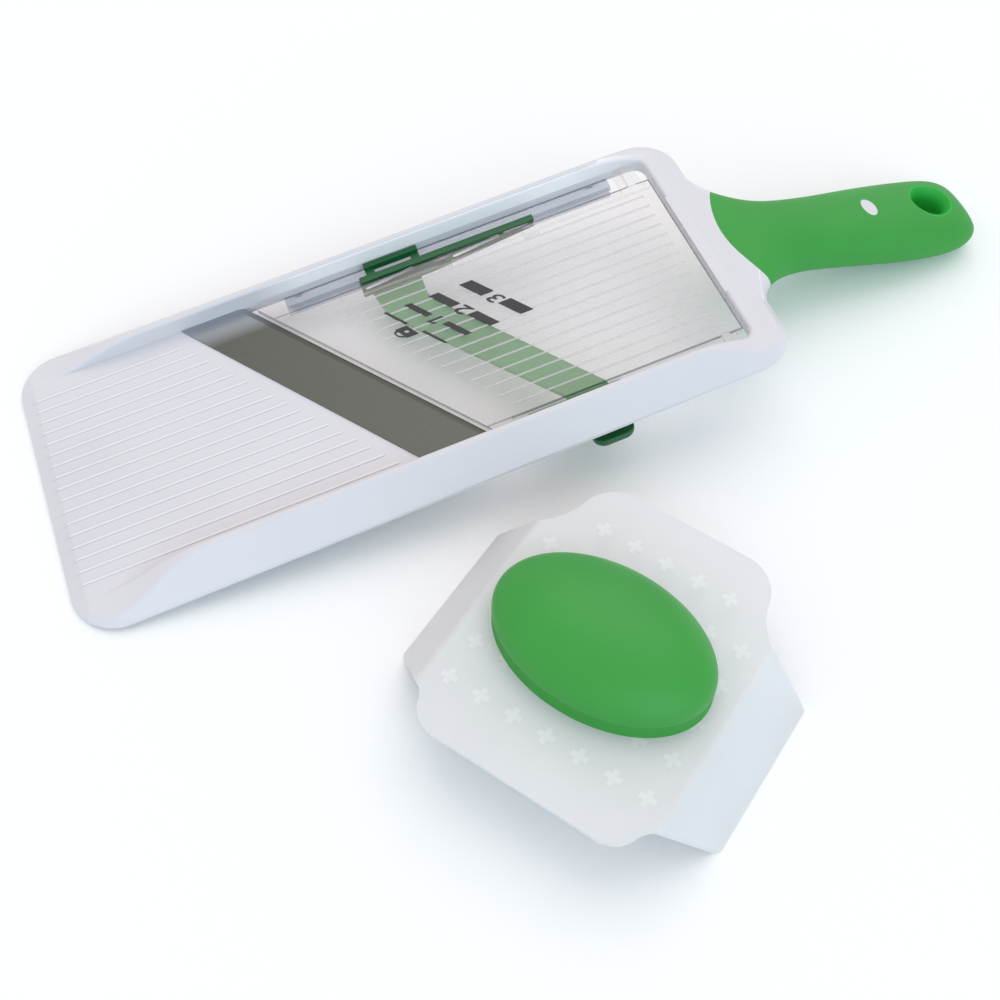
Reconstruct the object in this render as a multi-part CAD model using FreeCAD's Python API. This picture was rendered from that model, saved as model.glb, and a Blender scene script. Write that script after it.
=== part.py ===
import FreeCAD, Part
import math
import os

V = FreeCAD.Vector

far, near = 1, -1

# Frame, in the board's own axes: x from the open end to the handle, y across, z up from the skirt edge.
# Rim half widths are given at the open end and at the handle end, per side.
frame_length = 270.0
rim_half = {far: (62.0, 59.6), near: (62.9, 60.4)}
crest_half = {far: 51.8, near: 51.4}
channel = {far: 49.8, near: 48.6}
rim_height = 1.5
crest_z = 11.3
crest_setback = (4.4, 8.8)
rim_corner = {far: (16.0, 15.0), near: (17.5, 15.0)}
crest_corner = (12.5, 10.6)
crest_round = 2.0
wall = 2.2
bed_z = 3.5
bed_thick = 2.5
lip_x = 5.8
opening_end = 257.0
middle_step = 0.3
plateau_z = 5.0
rib_pitch = 5.3
rib_shift = -0.4
rib_high = 0.3
rib_wide = 0.8

# Blade, lying askew across the channel
skew = 0.6877
blade_x = 64.9
blade_run = 25.8
blade_top = 4.0
blade_thick = 1.0
ledge_run = 13.5
blade_tail = 1.4

# Feed plate and its slider
plate_gap = 1.2
plate_edge = {far: 39.0, near: 42.8}
plate_end = 255.6
plate_top = 4.2
plate_thick = 2.0
strip_half = {far: 48.8, near: 47.6}
strip_run = 9.5
ear_half = {far: 48.4, near: 47.2}
slider_travel = 30.0
plate_drop = 3.2
pin_r = 1.4
pin_z = -0.1
plate_pins = {far: (168.5, 205.0), near: (204.0,)}
pin_boss = {far: 39.9, near: 42.9}
bar_span = {far: (41.6, 44.4), near: (43.3, 45.1)}
bar_top = 2.8
bar_cap = 0.9
bar_web = {far: 42.9, near: 43.3}
flange_half = {far: 46.4, near: 46.2}
band_z = -7.0
band_thick = 2.0
guide_in = {far: 45.0, near: 45.5}
groove_half = {far: 46.9, near: 46.6}
guide_spans = {far: (106.0, 242.0), near: (172.0, 243.0)}
screw_half = {far: 53.9, near: 52.8}
screw_places = [(x + d, side) for side in (far, near) for x, d in zip(guide_spans[side], (6, -6))]

# Handle sections: x, centre height, half width, half height
handle_sections = (
    (258.0, 2.5, 43.0, 2.4),
    (262.0, 2.4, 42.6, 2.8),
    (265.5, 2.1, 41.0, 3.3),
    (268.5, 1.5, 37.4, 4.1),
    (271.0, 0.6, 31.8, 5.0),
    (274.0, -0.9, 27.4, 6.2),
    (278.0, -2.9, 23.8, 7.8),
    (283.0, -5.3, 20.4, 9.4),
    (289.0, -7.9, 17.8, 10.4),
    (297.0, -10.9, 16.3, 11.0),
    (308.0, -14.8, 16.2, 11.2),
    (322.0, -19.7, 17.2, 11.2),
    (338.0, -25.2, 18.4, 11.1),
    (353.0, -30.1, 18.6, 11.0),
    (363.0, -33.0, 17.9, 10.7),
    (370.0, -34.8, 16.5, 9.6),
    (374.8, -35.9, 14.2, 7.2),
    (377.5, -36.5, 11.0, 3.8),
)
tang_sections = (
    (262.0, 2.2, 15.0, 1.6),
    (272.0, -0.4, 15.0, 3.0),
    (286.0, -6.6, 12.5, 5.2),
    (306.0, -13.8, 11.0, 5.6),
    (336.0, -24.6, 11.0, 5.6),
    (349.0, -28.9, 10.0, 5.0),
)
grip_arc_x = 268.3
grip_arc_r = 45.0
handle_slope = 18.4
window_x = 333.0
hole_x = 358.5
hole_r = 6.5
mouth_r = 9.3

# Guard, in its own axes: a across the rails, b along them, z up from the table.
# Each end's outline is half of a mirrored run: arc, arc, line, arc.
fold_half = 44.4
wing_half = 60.7
guard_top = 23.9
guard_thick = 1.8
far_run = ((22.0, 55.6), (30.4, 52.2), (34.8, 45.4), (37.4, 37.6), (43.8, 29.4),
           (58.6, 28.9), (60.9, 28.2), (61.7, 26.0))
near_run = ((28.0, -54.4), (36.4, -51.8), (39.4, -47.4), (40.9, -44.6), (44.0, -42.2),
            (57.6, -31.0), (60.6, -28.0), (61.7, -25.0))
prong_pitch_a = 12.0
prong_pitch_b = 14.7
prong_shift_b = 1.5
prong_long = 13.0
knob_a = 38.5
knob_b = 25.4
knob_shift = (-1.3, -0.8)
lip_z = 31.6
lip_under = 1.8
under_high = 6.0
dome_high = 15.6
collar_in = 1.8
knob_screw_a = (-18.3, 18.3)

# Where things stand: the board leans on its open end and the handle tip
lean_deg = 6.85
rest_cut = 0.25
guard_x = 157.43
guard_y = -139.48
guard_turn = -55.2
origin_x = 189.715
origin_y = -71.695


def polygon_prism(points, height):
    wire = Part.makePolygon(points + [points[0]])
    return Part.Face(wire).extrude(height)


def flat_prism(points, z0, z1):
    return polygon_prism([V(x, y, z0) for x, y in points], V(0, 0, z1 - z0))


def side_prism(points, y0, y1):
    return polygon_prism([V(x, y0, z) for x, z in points], V(0, y1 - y0, 0))


def box(x0, x1, y0, y1, z0, z1):
    return Part.makeBox(x1 - x0, y1 - y0, z1 - z0, V(x0, y0, z0))


def rounded_outline(corners, radii, z):
    marks = []
    for i, (x, y) in enumerate(corners):
        p = V(x, y, z)
        back = (V(*corners[i - 1], z) - p).normalize()
        ahead = (V(*corners[(i + 1) % len(corners)], z) - p).normalize()
        half = back.getAngle(ahead) / 2
        reach = radii[i] / math.tan(half)
        inward = (back + ahead).normalize()
        middle = p + inward * (radii[i] / math.sin(half) - radii[i])
        marks.append((p + back * reach, middle, p + ahead * reach))
    edges = []
    for i, mark in enumerate(marks):
        edges.append(Part.Arc(*mark).toShape())
        edges.append(Part.makeLine(mark[2], marks[(i + 1) % len(marks)][0]))
    return Part.Wire(edges)


def oval_section(x, zc, w, t):
    points = []
    for k in range(20):
        a = 2 * math.pi * k / 20
        c, s = math.cos(a), math.sin(a)
        y = w * math.copysign(abs(c) ** 0.87, c)
        z = t * math.copysign(abs(s) ** 0.87, s)
        points.append(V(x, y, zc + z))
    curve = Part.BSplineCurve()
    curve.interpolate(points, PeriodicFlag=True)
    return Part.Wire([curve.toShape()])


def oval_loft(sections):
    return Part.makeLoft([oval_section(*s) for s in sections], True, False)


def span(side, inner, outer):
    return sorted((side * inner, side * outer))


def skew_x(x_at_far_wall, y):
    return x_at_far_wall + skew * (channel[far] - y)


def level_arc(x_level, z_level, x_end, z_end):
    run = x_end - x_level
    rise = z_end - z_level
    r = (run * run + rise * rise) / (2 * rise)
    half_turn = math.asin(run / r) / 2
    middle = V(x_level + r * math.sin(half_turn), -80, z_level + r - r * math.cos(half_turn))
    return Part.Arc(V(x_level, -80, z_level), middle, V(x_end, -80, z_end)).toShape()


def ramp_cutter(x_high, x_low, z_low, x_out, share):
    x_mid = x_high + share * (x_low - x_high)
    z_mid = crest_z + share * (z_low - crest_z)
    edges = [level_arc(x_high, crest_z, x_mid, z_mid)]
    if share < 1:
        edges.append(level_arc(x_low, z_low, x_mid, z_mid))
    edges += [
        Part.makeLine(V(x_low, -80, z_low), V(x_out, -80, z_low)),
        Part.makeLine(V(x_out, -80, z_low), V(x_out, -80, 30)),
        Part.makeLine(V(x_out, -80, 30), V(x_high, -80, 30)),
        Part.makeLine(V(x_high, -80, 30), V(x_high, -80, crest_z)),
    ]
    return Part.Face(Part.Wire(Part.__sortEdges__(edges))).extrude(V(0, 160, 0))


def middle_of(edge):
    return edge.valueAt((edge.FirstParameter + edge.LastParameter) / 2)


def is_outer_crest(edge):
    xs = [v.X for v in edge.Vertexes]
    across = abs(xs[0] - xs[-1]) < 0.01 and edge.Length > 100
    return min(v.Z for v in edge.Vertexes) > bed_z - 0.01 and not across


def is_inner_crest(edge, side):
    points = [v.Point for v in edge.Vertexes] + [middle_of(edge)]
    on_wall = all(abs(p.y - side * channel[side]) < 0.001 for p in points)
    return on_wall and middle_of(edge).z > bed_z + 2 and abs(points[0].x - points[1].x) > 1


def frame_block():
    x0, x1 = 0, frame_length
    order = ((near, 0), (near, 1), (far, 1), (far, 0))
    rim_points = [((x0, x1)[end], side * rim_half[side][end]) for side, end in order]
    rim_radii = [rim_corner[side][end] for side, end in order]
    ends = (x0 + crest_setback[0], x1 - crest_setback[1])
    crest_points = [(ends[end], side * crest_half[side]) for side, end in order]
    crest_radii = [crest_corner[end] for side, end in order]
    foot = rounded_outline(rim_points, rim_radii, 0)
    rim = rounded_outline(rim_points, rim_radii, rim_height)
    top = rounded_outline(crest_points, crest_radii, crest_z)
    block = Part.Face(foot).extrude(V(0, 0, rim_height)).fuse(Part.makeLoft([rim, top], True, True))
    block = block.cut(ramp_cutter(52.0, 7.5, bed_z, -5.0, 0.5))
    block = block.cut(ramp_cutter(231.0, 264.0, plateau_z, 290.0, 0.62)).removeSplitter()
    return block.makeFillet(crest_round, [e for e in block.Edges if is_outer_crest(e)])


def lip_bevel():
    return side_prism([(-2, 0.9), (lip_x, bed_z), (lip_x, 8), (-2, 8)], -70, 70)


def grip_zone():
    r = grip_arc_r
    cylinder = Part.makeCylinder(r, 160, V(grip_arc_x + r, 0, -100))
    return cylinder.fuse(box(grip_arc_x + r, 420, -r, r, -100, 60)).removeSplitter()


def make_blade():
    y0 = channel[far] + blade_tail
    y1 = -channel[near] - blade_tail
    x = skew_x(blade_x, y0)
    z = blade_top - blade_thick
    x1 = x + blade_run
    profile = [(x, z), (x1, z), (x1, z + 0.15), (x1 - 3.0, blade_top), (x, blade_top)]
    return polygon_prism([V(px, y0, pz) for px, pz in profile], V((y0 - y1) * skew, y1 - y0, 0))


def opening_cutter():
    left = ledge_run + blade_x
    y0, y1 = channel[far], -channel[near]
    step = opening_end - middle_step
    outline = [(skew_x(left, y0), y0), (opening_end, y0), (opening_end, 26), (step, 26), (step, -26),
               (opening_end, -26), (opening_end, y1), (skew_x(left, y1), y1)]
    shape = flat_prism(outline, -12, 30)
    upright = [e for e in shape.Edges if abs(e.Length - 42) < 0.01 and abs(middle_of(e).y) > 40]
    return shape.makeFillet(5.0, [e for e in upright if abs(middle_of(e).x - opening_end) < 0.01])


def rail_cavity(side):
    rim = rim_half[side][1]

    def slope_y(z):
        return rim - (rim - crest_half[side]) * (z - rim_height) / (crest_z - rim_height) - 2.6

    inner = channel[side] + wall
    foot = rim - wall
    profile = [(inner, -1), (foot, -1), (foot, rim_height - 0.5), (slope_y(7.0), 7.0), (inner, 7.0)]
    return polygon_prism([V(42, side * y, z) for y, z in profile], V(208, 0, 0))


def bed_rib(y):
    end = skew_x(blade_x, y) - 6.5
    z = bed_z + rib_high
    profile = [(0.9, 1.2), (lip_x, bed_z - 0.2), (end, bed_z - 0.2), (end, z), (lip_x, z), (0.7, 1.6)]
    return side_prism(profile, y - rib_wide / 2, y + rib_wide / 2)


def screw_post(x, side):
    y = side * screw_half[side]
    ya, yb = span(side, channel[side] + 1, screw_half[side] + 1.6)
    return Part.makeCylinder(2.6, 5.5, V(x, y, 0)).fuse(box(x - 1, x + 1, ya, yb, 0.6, 5.0))


def make_body(handle):
    y0, y1 = channel[far], -channel[near]
    body = frame_block().cut(lip_bevel())
    body = body.cut(box(lip_x - 8, skew_x(blade_x, y1) + 60, y1, y0, bed_z, 30))
    body = body.cut(opening_cutter()).removeSplitter()
    for side in (far, near):
        body = body.makeFillet(1.4, [e for e in body.Edges if is_inner_crest(e, side)])
    left = blade_x + ledge_run - 3
    y0, y1 = y0 - 1.5, y1 + 1.5
    hollow = [(4.0, y0), (skew_x(left, y0), y0), (skew_x(left, y1), y1), (4.0, y1)]
    body = body.cut(flat_prism(hollow, -1, bed_z - bed_thick))
    for side in (far, near):
        body = body.cut(rail_cavity(side))
    body = body.fuse(handle).cut(grip_zone())
    body = body.fuse(oval_loft(tang_sections)).fuse(window_boss().common(handle))
    body = body.multiFuse([bed_rib(k * rib_pitch + rib_shift) for k in range(-8, 9)])
    for x, side in screw_places:
        pilot = Part.makeCylinder(1.2, 5.6, V(x, side * screw_half[side], -1))
        body = body.fuse(screw_post(x, side)).cut(pilot)
    return body.cut(make_blade()).removeSplitter()


def along_handle(shape, x):
    z = -29.8 + (352.0 - x) * (5.2 / 16.0)
    shape.rotate(V(0, 0, 0), V(0, 1, 0), handle_slope)
    shape.translate(V(x, 0, z))
    return shape


def window_boss():
    ellipse = Part.Ellipse(V(0, 0, 0), 4.55, 3.05)
    wire = Part.Wire([ellipse.toShape()])
    wire.rotate(V(0, 0, 0), V(0, 0, 1), 90)
    return along_handle(Part.Face(wire).extrude(V(0, 0, 40)), window_x - 3.6)


def hang_hole():
    top = 10.6
    profile = [V(0, 0, -30), V(hole_r, 0, -30), V(hole_r, 0, top - 7.0)]
    edges = [Part.makeLine(profile[0], profile[1]), Part.makeLine(profile[1], profile[2])]
    edges.append(Part.Arc(V(hole_r, 0, top - 7.0), V(7.3, 0, top - 2.6), V(mouth_r, 0, top)).toShape())
    edges.append(Part.makeLine(V(mouth_r, 0, top), V(mouth_r + 3.0, 0, top + 4.0)))
    edges.append(Part.makeLine(V(mouth_r + 3.0, 0, top + 4.0), V(0, 0, top + 4.0)))
    edges.append(Part.makeLine(V(0, 0, top + 4.0), V(0, 0, -30)))
    shape = Part.Face(Part.Wire(edges)).revolve(V(0, 0, 0), V(0, 0, 1), 360)
    return along_handle(shape, hole_x)


def make_grip(handle):
    grip = handle.common(grip_zone())
    grip = grip.cut(oval_loft(tang_sections)).cut(window_boss()).cut(hang_hole())
    return grip.removeSplitter()


def plate_left(y):
    return skew_x(blade_x + blade_run + plate_gap, y)


def plate_side(side):
    edge = plate_edge[side]
    z0 = plate_top - plate_thick
    ya, yb = span(side, edge - 1.8, edge)
    shape = box(plate_left(side * edge) + 3, plate_end, ya, yb, 0.6, z0)
    ya, yb = span(side, edge - 1.0, ear_half[side])
    shape = shape.fuse(box(244.5, 253.0, ya, yb, z0 - 1.6, plate_top - 0.6))
    shape = shape.fuse(Part.makeCylinder(1.8, yb - ya - 1.0, V(248.5, ya + 0.5, plate_top - 0.6), V(0, 1, 0)))
    for x in plate_pins[side]:
        ya, yb = span(side, edge - 2.4, pin_boss[side])
        shape = shape.fuse(box(x - 3.0, x + 3.0, ya, yb, pin_z - 1.6, z0 + 0.2))
        reach = bar_span[side][1] + 0.1 - edge + 0.5
        shape = shape.fuse(Part.makeCylinder(pin_r, reach, V(x, side * (edge - 0.5), pin_z), V(0, side, 0)))
    return shape


def make_plate():
    z0 = plate_top - plate_thick
    y0, y1 = plate_edge[far], -plate_edge[near]
    field = [(plate_left(y0), y0), (plate_end, y0), (plate_end, y1), (plate_left(y1), y1)]
    plate = flat_prism(field, z0, plate_top)
    y0, y1 = strip_half[far], -strip_half[near]
    strip = [(plate_left(y0), y0), (plate_left(y0) + strip_run, y0),
             (plate_left(y1) + strip_run, y1), (plate_left(y1), y1)]
    front = flat_prism(strip, z0, plate_top)
    corners = [e for e in front.Edges if abs(e.Vertexes[0].Z - e.Vertexes[1].Z) > 1]
    plate = plate.fuse(front.makeFillet(2.5, corners))
    for side in (far, near):
        plate = plate.fuse(plate_side(side))
    ribs = []
    for k in range(-7, 7):
        y = k * rib_pitch + rib_shift
        ribs.append(box(plate_left(y) + 16, 250.4, y - rib_wide / 2, y + rib_wide / 2,
                        plate_top - 0.2, plate_top + rib_high))
    return plate.multiFuse(ribs).removeSplitter()


def slot_cutter(x, side):
    c = pin_r + 0.3
    slope = plate_drop / slider_travel
    x1 = x - slider_travel
    z1 = pin_z - plate_drop
    n = math.hypot(1, slope)
    dx, dz = slope * c / n, c / n
    y = side * (bar_span[side][0] - 1)
    depth = V(0, side * 6.0, 0)
    quad = [V(x - dx, y, pin_z + dz), V(x + dx, y, pin_z - dz),
            V(x1 + dx, y, z1 - dz), V(x1 - dx, y, z1 + dz)]
    cutter = polygon_prism(quad, depth)
    for px, pz in ((x, pin_z), (x1, z1)):
        cutter = cutter.fuse(Part.makeCylinder(c, 6.0, V(px, y, pz), V(0, side, 0)))
    return cutter


def make_bar(side):
    pins = plate_pins[side]
    x0 = min(pins) - slider_travel - 2.9
    x1 = max(pins) + 2.9
    ya, yb = span(side, *bar_span[side])
    bar = box(x0, x1, ya, yb, bar_top - bar_cap, bar_top)
    foot = [(x1, band_z), (x0, band_z)]
    if side == far:
        foot = [(x1, -2.5), (165.0, band_z), (x0, band_z)]
    ya, yb = span(side, bar_web[side], bar_span[side][1])
    bar = bar.fuse(side_prism([(x0, bar_top), (x1, bar_top)] + foot, ya, yb))
    ya, yb = span(side, bar_span[side][1], flange_half[side])
    bar = bar.fuse(box(x0, 196.0, ya, yb, -3.0, -1.4))
    for x in pins:
        bar = bar.cut(slot_cutter(x, side))
    return bar


def thumb_tab():
    y = -61.4
    tab = box(189.6, 205.6, y, -52.0, -7.8, -4.8)
    corners = [e for e in tab.Edges if abs(middle_of(e).y - y) < 1e-6 and abs(e.Length - 3.0) < 1e-6]
    tab = tab.makeFillet(4.5, corners)
    rims = [e for e in tab.Edges if middle_of(e).y < -56.9 and abs(middle_of(e).z + 6.3) > 1.4]
    return tab.makeFillet(0.9, rims)


def make_slider():
    band = [(138.8, 44.4), (140.9, 30.5), (143.0, 26.5), (188.0, -36.0), (190.0, -41.0), (190.0, -57.0),
            (205.0, -57.0), (205.0, -41.0), (203.8, -36.0), (159.2, 29.0), (158.6, 33.0), (159.4, 44.4)]
    slider = flat_prism(band, band_z, band_z + band_thick)
    slider = slider.fuse(make_bar(far)).fuse(make_bar(near))
    pad = box(139.0, 161.0, 46.9, 49.2, 1.6, 4.2)
    for x in (139.0, 157.5):
        pad = pad.fuse(box(x, x + 3.5, bar_span[far][1] - 0.4, 47.2, 1.6, 2.8))
    return slider.fuse(pad).fuse(thumb_tab()).removeSplitter()


def make_guide(side):
    x0, x1 = guide_spans[side]
    ya, yb = span(side, guide_in[side], channel[side])
    guide = box(x0, x1, ya, yb, -4.6, 1.0)
    ya, yb = span(side, guide_in[side] - 1, groove_half[side])
    guide = guide.cut(box(x0 - 1, x1 + 1, ya, yb, -3.3, -1.1))
    for x, own in screw_places:
        if own == side:
            ya, yb = span(side, channel[side] - 1.5, screw_half[side] + 3.4)
            ear = box(x - 4, x + 4, ya, yb, -2.0, 0)
            guide = guide.fuse(ear).cut(Part.makeCylinder(1.5, 4, V(x, side * screw_half[side], -3)))
    return guide.removeSplitter()


def pan_screw(x, y, z_head, length, r_shank, r_head):
    head = Part.makeCylinder(r_head, 1.6, V(x, y, z_head - 1.6))
    head = head.makeFillet(0.7, [e for e in head.Edges if abs(middle_of(e).z - z_head + 1.6) < 1e-6])
    cross = box(x - 1.6, x + 1.6, y - 0.35, y + 0.35, z_head - 2, z_head - 0.7)
    cross = cross.fuse(box(x - 0.35, x + 0.35, y - 1.6, y + 1.6, z_head - 2, z_head - 0.7))
    return head.cut(cross).fuse(Part.makeCylinder(r_shank, length, V(x, y, z_head))).removeSplitter()


def make_guide_screws():
    screws = [pan_screw(x, side * screw_half[side], -2.0, 6.4, 1.2, 2.5) for x, side in screw_places]
    return Part.makeCompound(screws)


def guard_profile():
    drop = guard_top
    run = wing_half - fold_half
    n = math.hypot(drop, run)
    t = guard_thick
    k = math.tan(math.atan2(drop, run) / 2) * t
    foot_x = wing_half - t * n / drop
    return [(-wing_half, 0), (-fold_half, guard_top), (fold_half, guard_top), (wing_half, 0), (foot_x, 0),
            (fold_half - k, guard_top - t), (-fold_half + k, guard_top - t), (-foot_x, 0)]


def guard_outline():
    def line(p, q):
        return Part.makeLine(V(*p, -5), V(*q, -5))

    def arc(p, m, q):
        return Part.Arc(V(*p, -5), V(*m, -5), V(*q, -5)).toShape()

    edges = []
    for run in (far_run, near_run):
        for side in (1, -1):
            p = [(side * a, b) for a, b in run]
            edges += [arc(*p[0:3]), arc(*p[2:5]), line(p[4], p[5]), arc(*p[5:8])]
        a, b = run[0]
        edges.append(line((a, b), (-a, b)))
    for side in (1, -1):
        edges.append(line((side * far_run[-1][0], far_run[-1][1]), (side * near_run[-1][0], near_run[-1][1])))
    return Part.Face(Part.Wire(Part.__sortEdges__(edges))).extrude(V(0, 0, 40))


def prong(a, b):
    w, l = 0.85, 2.8
    z0 = guard_top - guard_thick - prong_long
    z1 = guard_top - guard_thick + 0.2
    return box(a - l, a + l, b - w, b + w, z0, z1).fuse(box(a - w, a + w, b - l, b + l, z0, z1))


def make_guard():
    points = [V(a, -60, z) for a, z in guard_profile()]
    sheet = polygon_prism(points, V(0, 120, 0))
    folds = [e for e in sheet.Edges if abs(e.Length - 120) < 1e-6 and e.Vertexes[0].Z > 5]
    guard = sheet.makeFillet(3.0, folds).common(guard_outline())
    columns = [(i - 3) * prong_pitch_a for i in range(7)]
    rows = [(j - 2.5) * prong_pitch_b + prong_shift_b for j in range(6)]
    guard = guard.multiFuse([prong(a, b) for a in columns for b in rows if abs(a) < 30 or b < 35])
    for a in knob_screw_a:
        guard = guard.cut(Part.makeCylinder(1.7, 10, V(a + knob_shift[0], knob_shift[1], guard_top - 6)))
    return guard.removeSplitter()


def oval_wire(a, b, z):
    return Part.Wire([Part.Ellipse(V(0, 0, z), a, b).toShape()])


def make_knob_base():
    z = lip_z - lip_under
    a, b = knob_a - collar_in, knob_b - collar_in
    outer = Part.makeLoft([oval_wire(a + 1.8, b + 1.8, guard_top), oval_wire(a, b, z)], True, True)
    hollow = [oval_wire(a - 2.3, b - 2.3, guard_top + 2.0), oval_wire(a - 2.9, b - 2.9, z)]
    base = outer.cut(Part.makeLoft(hollow, True, True))
    for x in knob_screw_a:
        base = base.fuse(Part.makeCylinder(4.0, 7.0, V(x, 0, guard_top + 1.0)))
        base = base.cut(Part.makeCylinder(1.3, 10.0, V(x, 0, guard_top - 2.0)))
    return base.removeSplitter()


def egg(a, b, h, z0, z1):
    ball = Part.makeSphere(10.0)
    m = FreeCAD.Matrix()
    m.scale(a / 10.0, b / 10.0, h / 10.0)
    ball = ball.transformGeometry(m)
    ball.translate(V(0, 0, lip_z))
    return ball.common(box(-80, 80, -80, 80, z0, z1))


def make_knob_cap():
    low = lip_z - lip_under
    cap = egg(knob_a, knob_b, dome_high, lip_z, lip_z + 60).fuse(egg(knob_a, knob_b, under_high, low, lip_z))
    a, b = knob_a - 5.9, knob_b - 5.9
    cap = cap.cut(egg(a, b, dome_high - 3.0, lip_z, lip_z + 60))
    cap = cap.cut(Part.Face(oval_wire(a, b, low - 1)).extrude(V(0, 0, lip_under + 1)))
    a, b = knob_a - 5.3, knob_b - 5.3
    ring = Part.Face(oval_wire(a, b, low - 3.0)).extrude(V(0, 0, 4.0))
    hole = Part.Face(oval_wire(a - 1.6, b - 1.6, low - 4.0)).extrude(V(0, 0, 6))
    return cap.fuse(ring.cut(hole)).removeSplitter()


def make_knob_screws():
    z = guard_top - guard_thick
    return Part.makeCompound([pan_screw(a, 0, z, guard_thick + 6.4, 1.3, 2.9) for a in knob_screw_a])


def lean(shape):
    shape.rotate(V(0, 0, 0), V(0, 1, 0), -lean_deg)
    shape.translate(V(0, 0, -rest_cut))
    return shape


def set_down(shape):
    shape.rotate(V(0, 0, 0), V(0, 0, 1), guard_turn)
    shape.translate(V(guard_x, guard_y, 0))
    return shape


def build():
    handle = oval_loft(handle_sections)
    ground = box(-500, 900, -500, 500, -60, 0)
    slicer = {
        "body_frame": make_body(handle),
        "handle_grip": make_grip(handle),
        "blade": make_blade(),
        "feed_plate": make_plate(),
        "thickness_slider": make_slider(),
        "slider_guide_far": make_guide(1),
        "slider_guide_near": make_guide(-1),
        "guide_screws": make_guide_screws(),
    }
    knob = {
        "knob_base": make_knob_base(),
        "knob_cap": make_knob_cap(),
        "knob_screws": make_knob_screws(),
    }
    nodes = {}
    for name, shape in slicer.items():
        nodes[name] = lean(shape)
    for name in ("body_frame", "handle_grip"):
        nodes[name] = nodes[name].cut(ground)
    nodes["guard_plate"] = set_down(make_guard())
    for name, shape in knob.items():
        shape.translate(V(*knob_shift, 0))
        nodes[name] = set_down(shape)
    return nodes


os.makedirs("parts", exist_ok=True)
for name, shape in build().items():
    shape.translate(V(-origin_x, -origin_y, 0))
    shape.exportStep("parts/" + name + ".step")
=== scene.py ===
import bmesh
import bpy
import math
from mathutils import Matrix


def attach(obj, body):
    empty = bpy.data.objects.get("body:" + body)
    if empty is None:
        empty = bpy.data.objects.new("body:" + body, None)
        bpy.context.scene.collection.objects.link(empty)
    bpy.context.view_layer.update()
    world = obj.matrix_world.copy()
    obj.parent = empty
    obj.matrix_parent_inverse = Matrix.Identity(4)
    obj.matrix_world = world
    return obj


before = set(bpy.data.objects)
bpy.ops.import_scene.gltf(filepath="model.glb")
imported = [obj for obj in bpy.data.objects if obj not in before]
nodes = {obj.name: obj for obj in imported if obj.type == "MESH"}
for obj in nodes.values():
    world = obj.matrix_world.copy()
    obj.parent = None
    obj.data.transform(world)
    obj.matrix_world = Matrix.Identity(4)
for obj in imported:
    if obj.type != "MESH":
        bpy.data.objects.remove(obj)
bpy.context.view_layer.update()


# Frame: one white ABS moulding with two rails, a ribbed bed, the blade ledge and the neck.
# Its colour drifts a little, and a very fine orange-peel shows in the highlights. The tops
# of the ribs carry a painted highlight, and the inner face of the far rail is painted lighter
# as painted light.
def dress(node, material):
    materials = nodes[node].data.materials
    materials.clear()
    materials.append(material)


def moulded(name, dark, light, rough, grain, depth, spread=14.0):
    material = bpy.data.materials.new(name)
    material.use_nodes = True
    tree = material.node_tree
    shader = tree.nodes["Principled BSDF"]
    place = tree.nodes.new("ShaderNodeTexCoord")
    drift = tree.nodes.new("ShaderNodeTexNoise")
    drift.inputs["Scale"].default_value = spread
    drift.inputs["Detail"].default_value = 3.0
    shade = tree.nodes.new("ShaderNodeValToRGB")
    shade.color_ramp.elements[0].position = 0.35
    shade.color_ramp.elements[1].position = 0.65
    shade.color_ramp.elements[0].color = (*dark, 1.0)
    shade.color_ramp.elements[1].color = (*light, 1.0)
    peel = tree.nodes.new("ShaderNodeTexNoise")
    peel.inputs["Scale"].default_value = grain
    peel.inputs["Detail"].default_value = 2.0
    gloss = tree.nodes.new("ShaderNodeMapRange")
    gloss.inputs["To Min"].default_value = rough[0]
    gloss.inputs["To Max"].default_value = rough[1]
    bump = tree.nodes.new("ShaderNodeBump")
    bump.inputs["Strength"].default_value = 0.25
    bump.inputs["Distance"].default_value = depth
    link = tree.links.new
    link(place.outputs["Object"], drift.inputs["Vector"])
    link(place.outputs["Object"], peel.inputs["Vector"])
    link(drift.outputs["Fac"], shade.inputs["Fac"])
    link(shade.outputs["Color"], shader.inputs["Base Color"])
    link(peel.outputs["Fac"], gloss.inputs["Value"])
    link(gloss.outputs["Result"], shader.inputs["Roughness"])
    link(peel.outputs["Fac"], bump.inputs["Height"])
    link(bump.outputs["Normal"], shader.inputs["Normal"])
    return material


lean = math.radians(6.85)
board = Matrix.Translation((-0.189715, 0.071695, -0.00025)) @ Matrix.Rotation(-lean, 4, "Y")


def calc(tree, operation, *values):
    node = tree.nodes.new("ShaderNodeMath")
    node.operation = operation
    for socket, value in zip(node.inputs, values):
        if isinstance(value, float):
            socket.default_value = value
        else:
            tree.links.new(value, socket)
    return node.outputs[0]


def axes(tree, stand):
    place = tree.nodes.new("ShaderNodeTexCoord")
    level = tree.nodes.new("ShaderNodeMapping")
    level.inputs["Rotation"].default_value = stand.inverted().to_euler()
    level.inputs["Location"].default_value = stand.inverted().translation
    split = tree.nodes.new("ShaderNodeSeparateXYZ")
    tree.links.new(place.outputs["Object"], level.inputs["Vector"])
    tree.links.new(level.outputs["Vector"], split.inputs["Vector"])
    return split.outputs


def both(tree, first, second):
    return calc(tree, "MULTIPLY", first, second)


def between(tree, value, low, high):
    return both(tree, calc(tree, "GREATER_THAN", value, low), calc(tree, "LESS_THAN", value, high))


def fade(tree, value, start, end):
    ramp = tree.nodes.new("ShaderNodeMapRange")
    ramp.inputs["From Min"].default_value = start
    ramp.inputs["From Max"].default_value = end
    tree.links.new(value, ramp.inputs["Value"])
    return ramp.outputs["Result"]


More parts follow.
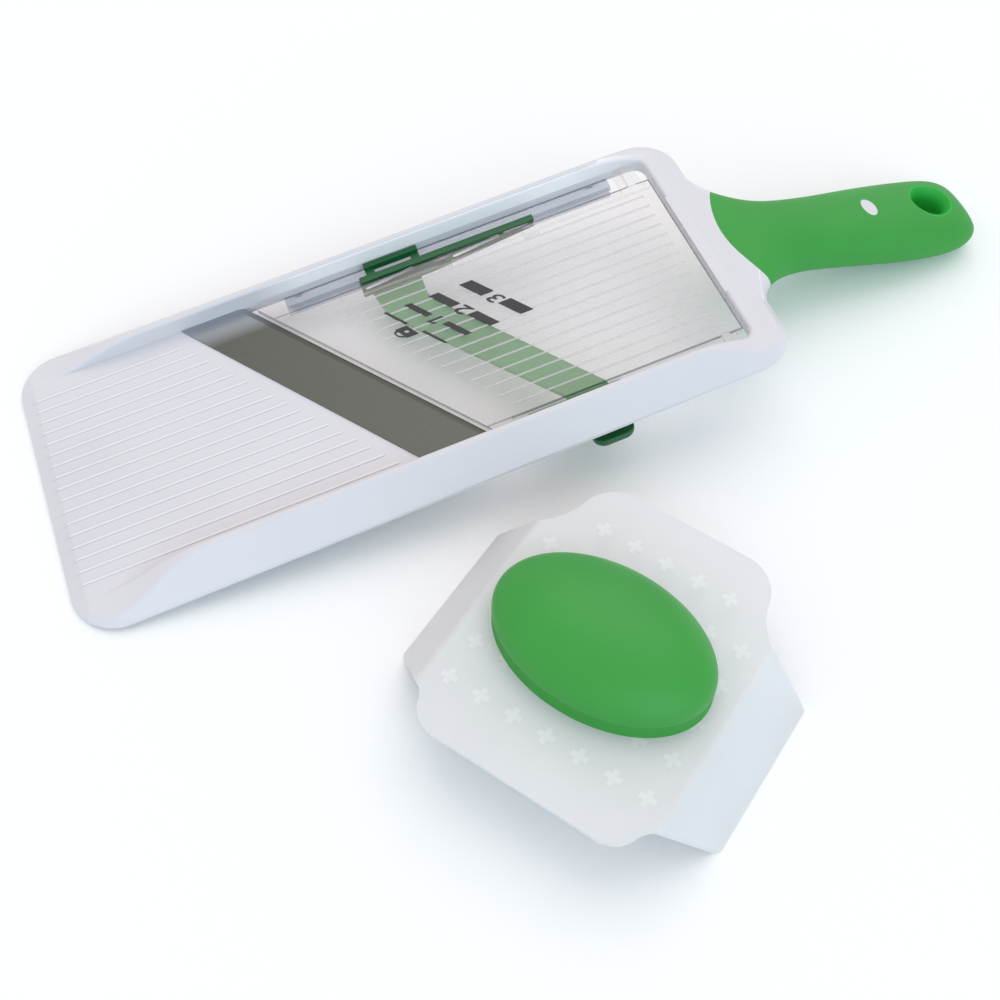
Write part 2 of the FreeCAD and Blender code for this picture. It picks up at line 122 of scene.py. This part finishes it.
def tint(material, mask, colour):
    tree = material.node_tree
    shader = tree.nodes["Principled BSDF"]
    under = shader.inputs["Base Color"].links[0].from_socket
    mix = tree.nodes.new("ShaderNodeMix")
    mix.data_type = "RGBA"
    factor, plain, tinted = mix.inputs[0], mix.inputs[6], mix.inputs[7]
    mixed = mix.outputs[2]
    tinted.default_value = (*colour, 1.0)
    tree.links.new(mask, factor)
    tree.links.new(under, plain)
    tree.links.new(mixed, shader.inputs["Base Color"])


rib_tops = (0.00366, 0.00390)
bed_half = 0.046
far_face_height = (0.0042, 0.0106)
far_face_depth = (0.0490, 0.0521)
far_face_start = (0.095, 0.115)
far_face_end = (0.262, 0.225)
white_abs = moulded("white_abs", (0.675, 0.655, 0.685), (0.705, 0.685, 0.715),
                    (0.36, 0.46), 1400.0, 0.00004)
tree = white_abs.node_tree
x, y, z = axes(tree, board)
# Painted highlight: the tops of the bed ribs are painted lighter, as if they catch the light.
rib_tops_painted_highlight = both(tree, between(tree, z, *rib_tops), between(tree, y, -bed_half, bed_half))
tint(white_abs, rib_tops_painted_highlight, (0.78, 0.77, 0.79))
# Painted light: the inner face of the far rail is painted lighter, fading out towards both ends.
far_face = both(tree, between(tree, z, *far_face_height), between(tree, y, *far_face_depth))
far_face = both(tree, far_face, fade(tree, x, *far_face_start))
far_face = both(tree, far_face, fade(tree, x, *far_face_end))
tint(white_abs, far_face, (0.96, 0.93, 0.93))
dress("body_frame", white_abs)


# Blade: a stainless strip laid askew across the channel, ground along its length, with a
# bevelled cutting edge on the handle side. The grinding leaves fine lines and a soft sheen,
# and the far end carries a painted reflection: it is painted brighter and bluer.
blade_skew = 0.6877
grind_lines = (30.0, 2600.0, 2600.0)
painted_reflection_end = (0.036, 0.054)
blade_steel = bpy.data.materials.new("blade_steel")
blade_steel.use_nodes = True
tree = blade_steel.node_tree
shader = tree.nodes["Principled BSDF"]
shader.inputs["Metallic"].default_value = 1.0
place = tree.nodes.new("ShaderNodeTexCoord")
turn = tree.nodes.new("ShaderNodeMapping")
turn.inputs["Rotation"].default_value = (0.0, lean, math.atan(1 / blade_skew))
turn.inputs["Scale"].default_value = grind_lines
lines = tree.nodes.new("ShaderNodeTexNoise")
lines.inputs["Scale"].default_value = 1.0
lines.inputs["Detail"].default_value = 3.0
tone = tree.nodes.new("ShaderNodeValToRGB")
tone.color_ramp.elements[0].color = (0.080, 0.084, 0.073, 1.0)
tone.color_ramp.elements[1].color = (0.112, 0.116, 0.103, 1.0)
gloss = tree.nodes.new("ShaderNodeMapRange")
gloss.inputs["To Min"].default_value = 0.28
gloss.inputs["To Max"].default_value = 0.42
bump = tree.nodes.new("ShaderNodeBump")
bump.inputs["Strength"].default_value = 0.2
bump.inputs["Distance"].default_value = 0.00003
tree.links.new(place.outputs["Object"], turn.inputs["Vector"])
tree.links.new(turn.outputs["Vector"], lines.inputs["Vector"])
tree.links.new(lines.outputs["Fac"], tone.inputs["Fac"])
tree.links.new(tone.outputs["Color"], shader.inputs["Base Color"])
tree.links.new(lines.outputs["Fac"], gloss.inputs["Value"])
tree.links.new(gloss.outputs["Result"], shader.inputs["Roughness"])
tree.links.new(lines.outputs["Fac"], bump.inputs["Height"])
tree.links.new(bump.outputs["Normal"], shader.inputs["Normal"])
across = axes(tree, board)["Y"]
# Painted reflection: the far end of the blade is painted brighter and bluer, like the rail beside it
# mirrored in the steel.
tint(blade_steel, fade(tree, across, *painted_reflection_end), (0.48, 0.52, 0.58))
dress("blade", blade_steel)


# Thickness slider: one green moulding, a flat band under the plate with an upright bar at
# each side and a thumb tab below the near rail. The band is tinted a brighter green than
# the bars and the tab, whose darker green is painted shade.
band_half = 0.0412
# Painted shade: this darker base green shows on the bars and the tab; the band gets the plain green below.
slider_green = moulded("slider_green", (0.001, 0.085, 0.018), (0.003, 0.100, 0.024),
                       (0.30, 0.38), 1500.0, 0.00003)
tree = slider_green.node_tree
across = axes(tree, board)["Y"]
tint(slider_green, between(tree, across, -band_half, band_half), (0.012, 0.285, 0.042))
dress("thickness_slider", slider_green)


# Feed plate: a clear moulded sheet with fine ribs on top and pins at its sides. The plastic
# is nearly all see-through, with a little haze over what lies under it. The ribs are painted
# grey and the edges of the sheet dark, both painted shade, and both are hazier than the rest.
def see_through(name, dark, light, rough, haze, grain):
    material = moulded(name, dark, light, rough, grain, 0.00003, 30.0)
    shader = material.node_tree.nodes["Principled BSDF"]
    shader.inputs["Alpha"].default_value = haze
    return material


plate_haze = 0.15
added_haze = 0.46
plate_rib_tops = (0.00428, 0.00470)
edge_height = (0.0034, 0.0043)
blade_edge = (0.1260, 0.1267)
far_edge = (0.0386, 0.0392)
near_edge = (-0.0430, -0.0424)
handle_edge = (0.2551, 0.2560)
plate_clear = see_through("plate_clear", (0.76, 0.66, 0.65), (0.80, 0.70, 0.69),
                          (0.10, 0.18), plate_haze, 900.0)
tree = plate_clear.node_tree
x, y, z = axes(tree, board)
from_blade = calc(tree, "MULTIPLY_ADD", y, blade_skew, x)
# Painted shade: the edges of the sheet along the blade, both sides and the handle end are painted dark and
# hazier.
edges = between(tree, from_blade, *blade_edge)
for place, edge in ((y, far_edge), (y, near_edge), (x, handle_edge)):
    edges = calc(tree, "MAXIMUM", edges, between(tree, place, *edge))
# Painted shade: the rib tops are painted grey and hazier.
ribs = between(tree, z, *plate_rib_tops)
edges = both(tree, edges, between(tree, z, *edge_height))
hazy = calc(tree, "MULTIPLY_ADD", calc(tree, "MAXIMUM", ribs, edges), added_haze, plate_haze)
tint(plate_clear, ribs, (0.62, 0.59, 0.61))
tint(plate_clear, edges, (0.12, 0.11, 0.14))
tree.links.new(hazy, tree.nodes["Principled BSDF"].inputs["Alpha"])
dress("feed_plate", plate_clear)


# Scale on the plate: bars, numbers and a padlock sign, foil-printed in dark ink across the
# ribs of the plate. The bars lean with the blade and grow wider with the number they mark.
ink_low = 0.00430
ink_high = 0.00456
ink_lean = 0.66
weld = 0.00004


def raise_ink(mesh, faces):
    up = bmesh.ops.extrude_face_region(mesh, geom=faces)["geom"]
    bmesh.ops.translate(mesh, verts=[v for v in up if isinstance(v, bmesh.types.BMVert)],
                        vec=(0, 0, ink_high - ink_low))


def print_piece(name, mesh):
    bmesh.ops.remove_doubles(mesh, verts=mesh.verts[:], dist=weld)
    bmesh.ops.recalc_face_normals(mesh, faces=mesh.faces[:])
    bmesh.ops.transform(mesh, matrix=board, verts=mesh.verts[:])
    data = bpy.data.meshes.new(name)
    mesh.to_mesh(data)
    mesh.free()
    piece = bpy.data.objects.new(name, data)
    bpy.context.collection.objects.link(piece)
    data.materials.append(ink)
    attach(piece, "plate")


ink = moulded("scale_ink", (0.010, 0.010, 0.012), (0.018, 0.018, 0.021), (0.45, 0.55), 800.0, 0.00001)
mm_per_m = 1000
far_row = 22.3
near_row = 7.5
row_shift = 10.2
bar_long = 8.6
bar_run = bar_long * ink_lean
bars = bmesh.new()
for first, width in ((138.8, 1.1), (147.1, 2.6), (157.0, 4.0), (169.4, 5.2)):
    for start, row in ((first, far_row), (first + row_shift, near_row)):
        end, foot = start + bar_run, row - bar_long
        outline = ((start, row), (end, foot), (end + width, foot), (start + width, row))
        corners = [bars.verts.new((u / mm_per_m, v / mm_per_m, ink_low)) for u, v in outline]
        raise_ink(bars, [bars.faces.new(corners)])
print_piece("scale_bars", bars)

digit_size = 0.0084
digit_swell = 0.00008
quarter_turn = Matrix.Rotation(math.pi / 2, 4, "Z")
slant = Matrix.Shear("XZ", 4, (-ink_lean, 0.0))
for digit, spot in (("2", (166.9, 10.5)), ("3", (179.8, 10.1))):
    text = bpy.data.curves.new("digit", "FONT")
    text.body = digit
    text.align_x = "CENTER"
    text.align_y = "CENTER"
    text.size = digit_size
    text.offset = digit_swell
    text.extrude = (ink_high - ink_low) / 2
    shaped = bpy.data.objects.new("digit", text)
    bpy.context.collection.objects.link(shaped)
    bpy.context.view_layer.update()
    flat = bpy.data.meshes.new_from_object(shaped)
    bpy.data.objects.remove(shaped)
    place = Matrix.Translation((spot[0] / mm_per_m, spot[1] / mm_per_m, (ink_low + ink_high) / 2))
    flat.transform(place @ slant @ quarter_turn)
    figure = bmesh.new()
    figure.from_mesh(flat)
    print_piece("scale_number_" + digit, figure)

flagged = ((0.45, -3.0), (0.45, 3.0), (-0.25, 3.0), (-1.7, 2.0), (-1.7, 1.1), (-0.45, 1.9), (-0.45, -3.0))
one = bmesh.new()
stroke = [one.verts.new((-v / mm_per_m, u / mm_per_m, 0)) for u, v in flagged]
raise_ink(one, [one.faces.new(stroke)])
place = Matrix.Translation((0.1554, 0.0108, ink_low))
bmesh.ops.transform(one, matrix=place @ slant, verts=one.verts[:])
print_piece("scale_number_1", one)

keyhole_r = 0.0008
lock_high, lock_wide = 0.0023, 0.0027
bow_foot = -0.0022
bow_in, bow_out = -0.0015, -0.0021
lock_lean = 0.53
lock = bmesh.new()
bmesh.ops.create_circle(lock, segments=18, radius=keyhole_r)
corners = ((-lock_high, lock_wide), (-lock_high, -lock_wide),
           (lock_high, -lock_wide), (lock_high, lock_wide))
body = [lock.verts.new((u, v, 0)) for u, v in corners]
for k in range(4):
    lock.edges.new((body[k - 1], body[k]))
bmesh.ops.triangle_fill(lock, use_beauty=True, edges=lock.edges[:])
start = [lock.verts.new((bow_foot, bow_in, 0)), lock.verts.new((bow_foot, bow_out, 0))]
bow = lock.edges.new(start)
bmesh.ops.spin(lock, geom=start + [bow], cent=(bow_foot, 0, 0), axis=(0, 0, -1), angle=math.pi, steps=16)
bmesh.ops.recalc_face_normals(lock, faces=lock.faces[:])
raise_ink(lock, lock.faces[:])
for v in lock.verts:
    v.co.x -= lock_lean * v.co.y
bmesh.ops.translate(lock, verts=lock.verts[:], vec=(0.1438, 0.0101, ink_low))
print_piece("scale_padlock", lock)


# Slider guides: two clear strips in the gutters, screwed up into posts under the rails.
# Clear plastic like the plate, tinted bluer and hazier.
guide_haze = 0.42
guide_clear = see_through("guide_clear", (0.40, 0.44, 0.54), (0.50, 0.54, 0.63),
                          (0.12, 0.2), guide_haze, 900.0)
dress("slider_guide_far", guide_clear)
dress("slider_guide_near", guide_clear)


# Screws: small zinc-plated steel screws with pan heads. Four hold the guides from below,
# and two go up through the guard and hold the knob.
screw_steel = moulded("screw_steel", (0.42, 0.43, 0.45), (0.52, 0.53, 0.55),
                      (0.22, 0.34), 2200.0, 0.00002)
screw_steel.node_tree.nodes["Principled BSDF"].inputs["Metallic"].default_value = 1.0
dress("guide_screws", screw_steel)
dress("knob_screws", screw_steel)


# Grip: a soft green sleeve moulded over the tang, with a flared hole to hang it by.
# Soft-touch rubber, matt, with a fine even grain. The wall of the hole is painted brighter, painted light
# against the shade inside it.
hole_mouth = 0.0093
grip_green = moulded("grip_green", (0.034, 0.295, 0.042), (0.042, 0.330, 0.050),
                     (0.46, 0.58), 1700.0, 0.00006)
tree = grip_green.node_tree
hanger = Matrix.Translation((0.164025, 0.071695, -0.018569)) @ Matrix.Rotation(math.radians(11.55), 4, "Y")
x, y, _ = axes(tree, hanger)
from_axis = calc(tree, "SQRT", calc(tree, "MULTIPLY_ADD", x, x, calc(tree, "MULTIPLY", y, y)))
# Painted light: inside the hole's mouth the green is painted brighter to lift the shade there.
tint(grip_green, calc(tree, "LESS_THAN", from_axis, hole_mouth), (0.022, 0.42, 0.050))
tree.nodes["Principled BSDF"].inputs["Specular IOR Level"].default_value = 0.3
dress("handle_grip", grip_green)


# Guard: a frosted sheet with two sloping wings that ride on the rails, and a field of
# cross-shaped prongs under it that hold the food. Polypropylene, milky and matt, with
# painted light: the sheet is painted whiter where a prong stands under it.
guard_haze = 0.78
prong_half_a, prong_half_b = 0.0060, 0.00735
prong_shift = 0.00585
limb_half = 0.00095
limb_reach = 0.0028
field_a = (-0.040, 0.040)
field_b = (-0.040, 0.042)
corner_a, corner_b = 0.030, 0.035
frosted = see_through("guard_frosted", (0.805, 0.805, 0.812), (0.830, 0.830, 0.838),
                      (0.42, 0.55), guard_haze, 1100.0)
tree = frosted.node_tree
stand = Matrix.Translation((-0.032285, -0.067785, 0.0)) @ Matrix.Rotation(math.radians(-55.2), 4, "Z")
a, b, _ = axes(tree, stand)
u = calc(tree, "ABSOLUTE", calc(tree, "WRAP", a, prong_half_a, -prong_half_a))
shifted = calc(tree, "ADD", b, prong_shift)
v = calc(tree, "ABSOLUTE", calc(tree, "WRAP", shifted, prong_half_b, -prong_half_b))
thin = calc(tree, "LESS_THAN", calc(tree, "MINIMUM", u, v), limb_half)
short = calc(tree, "LESS_THAN", calc(tree, "MAXIMUM", u, v), limb_reach)
field = both(tree, between(tree, a, *field_a), between(tree, b, *field_b))
prong_crosses_painted_light = both(tree, both(tree, thin, short), field)
cut_away = both(tree, calc(tree, "GREATER_THAN", calc(tree, "ABSOLUTE", a), corner_a),
                calc(tree, "GREATER_THAN", b, corner_b))
prong_crosses_painted_light = calc(tree, "SUBTRACT", prong_crosses_painted_light, both(tree, prong_crosses_painted_light, cut_away))
# Painted light: whiter crosses on the sheet over the prongs, standing in for the light they scatter
# through it.
tint(frosted, prong_crosses_painted_light, (0.90, 0.90, 0.905))
dress("guard_plate", frosted)


# Knob: an oval collar and a pressed-on dome, screwed on from below the guard.
# Satin green plastic, a little glossier than the grip.
knob_green = moulded("knob_green", (0.034, 0.300, 0.040), (0.042, 0.335, 0.048),
                     (0.36, 0.44), 1500.0, 0.00004)
knob_green.node_tree.nodes["Principled BSDF"].inputs["Specular IOR Level"].default_value = 0.35
dress("knob_base", knob_green)
dress("knob_cap", knob_green)


# Studio: a white table, soft daylight all round and two wide lamps, one overhead and one
# bluish from the front, seen from above the open end as a product picture is taken.
table_half = 3.0
table_drop = Matrix.Translation((0, 0, -0.0002))
sheet = bmesh.new()
bmesh.ops.create_grid(sheet, x_segments=1, y_segments=1, size=table_half, matrix=table_drop)
data = bpy.data.meshes.new("table")
sheet.to_mesh(data)
sheet.free()
table = bpy.data.objects.new("table", data)
bpy.context.collection.objects.link(table)
paper = bpy.data.materials.new("white_paper")
paper.use_nodes = True
shader = paper.node_tree.nodes["Principled BSDF"]
shader.inputs["Base Color"].default_value = (0.97, 0.97, 0.97, 1.0)
shader.inputs["Roughness"].default_value = 0.9
shader.inputs["Specular IOR Level"].default_value = 0.0
data.materials.append(paper)

daylight = 0.74
backdrop = 1.0
world = bpy.data.worlds.new("daylight")
world.use_nodes = True
bpy.context.scene.world = world
tree = world.node_tree
sky = tree.nodes["Background"]
sky.inputs["Color"].default_value = (1.0, 1.0, 1.0, 1.0)
rays = tree.nodes.new("ShaderNodeLightPath")
seen = calc(tree, "MAXIMUM", rays.outputs["Is Camera Ray"], rays.outputs["Is Glossy Ray"])
seen = calc(tree, "MAXIMUM", seen, rays.outputs["Is Transmission Ray"])
level = tree.nodes.new("ShaderNodeMapRange")
level.inputs["To Min"].default_value = daylight
level.inputs["To Max"].default_value = backdrop
tree.links.new(seen, level.inputs["Value"])
tree.links.new(level.outputs["Result"], sky.inputs["Strength"])

lamp_spread = math.radians(60)
for name, energy, colour, turn in (("ceiling", 0.80, (1.0, 0.93, 0.95), (-25.0, 18.0, 0.0)),
                                   ("front", 1.05, (0.46, 0.78, 1.0), (65.0, 0.0, 0.0))):
    lamp = bpy.data.lights.new(name, "SUN")
    lamp.energy = energy
    lamp.color = colour
    lamp.angle = lamp_spread
    hung = bpy.data.objects.new(name, lamp)
    hung.rotation_euler = [math.radians(t) for t in turn]
    bpy.context.collection.objects.link(hung)

lens = bpy.data.cameras.new("camera")
lens.lens = 48.6
lens.sensor_width = 36.0
camera = bpy.data.objects.new("camera", lens)
camera.location = (-0.135855, -0.237765, 0.40782)
camera.rotation_euler = (0.58251, -0.00267, -0.37187)
bpy.context.collection.objects.link(camera)
scene = bpy.context.scene
scene.camera = camera
scene.view_settings.view_transform = "Standard"
